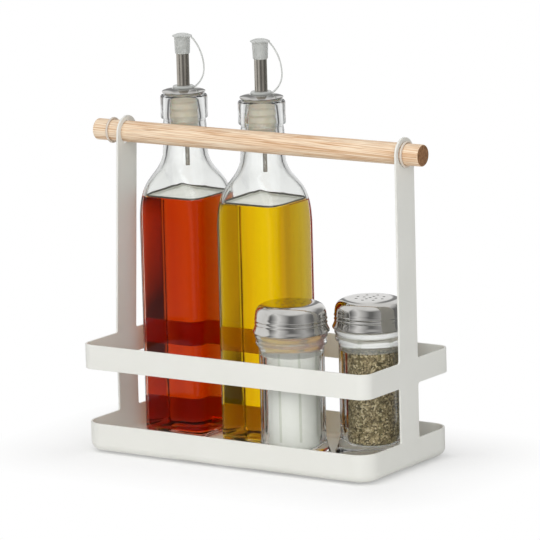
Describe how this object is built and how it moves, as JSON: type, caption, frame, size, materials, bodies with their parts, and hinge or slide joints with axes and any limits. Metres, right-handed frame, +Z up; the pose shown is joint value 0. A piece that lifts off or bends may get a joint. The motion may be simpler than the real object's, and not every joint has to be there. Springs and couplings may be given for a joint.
{
  "type": "condiment caddy",
  "caption": "Open white sheet steel rack with a round wooden carrying handle, square glass pourer bottles and panelled glass shakers with punched steel lids.",
  "frame": {"origin": "On the table, under the middle of the rack.", "axes": "+Z is up, +X runs along the handle towards the shakers, +Y points to the back where the bottles stand."},
  "size_m": [0.2682, 0.11, 0.2876],
  "materials": {
    "white_paint": "smooth warm white powder coat",
    "clear_rubber": "clear elastic, slightly cloudy",
    "ash_wood": "oiled ash with straight grain",
    "bottle_glass": "clear moulded glass",
    "vinegar_liquid": "clear red-brown liquid",
    "oil_liquid": "clear golden liquid",
    "stopper_rubber": "soft grey-beige",
    "polished_steel": "polished, domed",
    "tube_steel": "drawn, smooth",
    "soft_plastic": "soft, milky",
    "jar_glass": "clear pressed glass",
    "lid_steel": "pressed and polished",
    "salt_grains": "fine white grains",
    "pepper_grains": "coarse brown and black grains"
  },
  "bodies": {
    "rack": {"tray_pan": "white_paint", "side_frame_left": "white_paint", "side_frame_right": "white_paint", "rail_front": "white_paint", "rail_back": "white_paint", "foot_pad_front_left": "clear_rubber", "foot_pad_front_right": "clear_rubber", "foot_pad_back_left": "clear_rubber", "foot_pad_back_right": "clear_rubber"},
    "handle_rings": {"handle_ring_left": "clear_rubber", "handle_ring_right": "clear_rubber"},
    "handle": {"handle_dowel": "ash_wood"},
    "vinegar_bottle": {"vinegar_bottle_glass": "bottle_glass", "vinegar_liquid": "vinegar_liquid"},
    "vinegar_stopper": {"vinegar_stopper_plug": "stopper_rubber", "vinegar_stopper_disc": "polished_steel", "vinegar_pour_tube": "tube_steel", "vinegar_air_tube": "tube_steel", "vinegar_cap_collar": "soft_plastic", "vinegar_cap_strap": "soft_plastic"},
    "vinegar_cap": {"vinegar_cap": "soft_plastic"},
    "oil_bottle": {"oil_bottle_glass": "bottle_glass", "oil_liquid": "oil_liquid"},
    "oil_stopper": {"oil_stopper_plug": "stopper_rubber", "oil_stopper_disc": "polished_steel", "oil_pour_tube": "tube_steel", "oil_air_tube": "tube_steel", "oil_cap_collar": "soft_plastic", "oil_cap_strap": "soft_plastic"},
    "oil_cap": {"oil_cap": "soft_plastic"},
    "salt_shaker": {"salt_jar": "jar_glass", "salt_fill": "salt_grains"},
    "salt_top": {"salt_lid": "lid_steel"},
    "pepper_shaker": {"pepper_jar": "jar_glass", "pepper_fill": "pepper_grains"},
    "pepper_top": {"pepper_lid": "lid_steel"}
  },
  "joints": [
    {"name": "handle_slide", "type": "slide", "parent": "rack", "child": "handle_rings", "axis": [1, 0, 0], "range_m": [-0.0009, 0.0092]},
    {"name": "handle_turn", "type": "hinge", "parent": "handle_rings", "child": "handle", "pos_m": [0, 0, 0.22], "axis": [1, 0, 0], "continuous": true},
    {"name": "vinegar_bottle_lift", "type": "slide", "parent": "rack", "child": "vinegar_bottle", "axis": [0, 0, 1], "range_m": [0, 0.024]},
    {"name": "vinegar_stopper_pull", "type": "slide", "parent": "vinegar_bottle", "child": "vinegar_stopper", "axis": [0, 0, 1], "range_m": [0, 0.06]},
    {"name": "vinegar_cap_pull", "type": "slide", "parent": "vinegar_stopper", "child": "vinegar_cap", "axis": [0, 0, 1], "range_m": [0, 0.013], "deforming": ["vinegar_cap_strap"]},
    {"name": "oil_bottle_lift", "type": "slide", "parent": "rack", "child": "oil_bottle", "axis": [0, 0, 1], "range_m": [0, 0.024]},
    {"name": "oil_stopper_pull", "type": "slide", "parent": "oil_bottle", "child": "oil_stopper", "axis": [0, 0, 1], "range_m": [0, 0.06]},
    {"name": "oil_cap_pull", "type": "slide", "parent": "oil_stopper", "child": "oil_cap", "axis": [0, 0, 1], "range_m": [0, 0.013], "deforming": ["oil_cap_strap"]},
    {"name": "salt_shaker_lift", "type": "slide", "parent": "rack", "child": "salt_shaker", "axis": [0, 0, 1], "range_m": [0, 0.078]},
    {"name": "salt_lid_off", "type": "slide", "parent": "salt_shaker", "child": "salt_top", "axis": [0, 0, 1], "range_m": [0, 0.016]},
    {"name": "pepper_shaker_lift", "type": "slide", "parent": "rack", "child": "pepper_shaker", "axis": [0, 0, 1], "range_m": [0, 0.078]},
    {"name": "pepper_lid_off", "type": "slide", "parent": "pepper_shaker", "child": "pepper_top", "axis": [0, 0, 1], "range_m": [0, 0.016]}
  ]
}
